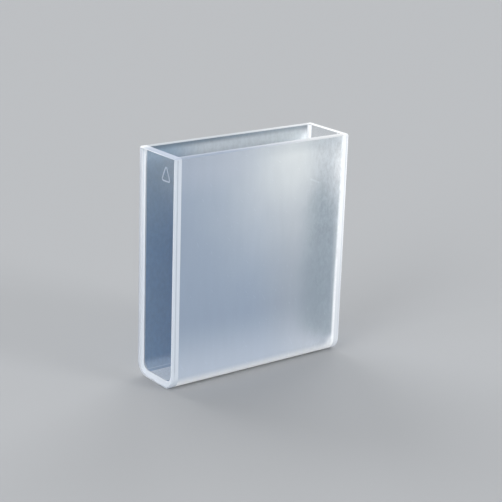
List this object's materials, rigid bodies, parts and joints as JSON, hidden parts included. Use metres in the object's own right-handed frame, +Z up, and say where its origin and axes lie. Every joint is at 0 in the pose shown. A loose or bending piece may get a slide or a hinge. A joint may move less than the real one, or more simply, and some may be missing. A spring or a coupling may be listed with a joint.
{
  "type": "cuvette",
  "caption": "Tall narrow open-topped fused quartz cell with ground side walls, a rounded base and clear polished end windows, for holding a liquid sample in a light beam.",
  "frame": {"origin": "centre of the cell's underside", "axes": "+Z up to the open rim, +X along the light path from the entry window to the exit window, +Y across the ground side walls"},
  "size_m": [0.043, 0.0126, 0.0475],
  "materials": {
    "ground_quartz": "ground",
    "polished_quartz": "polished"
  },
  "bodies": {
    "root": {"channel": "ground_quartz", "entry_window": "polished_quartz", "exit_window": "polished_quartz"}
  },
  "joints": []
}
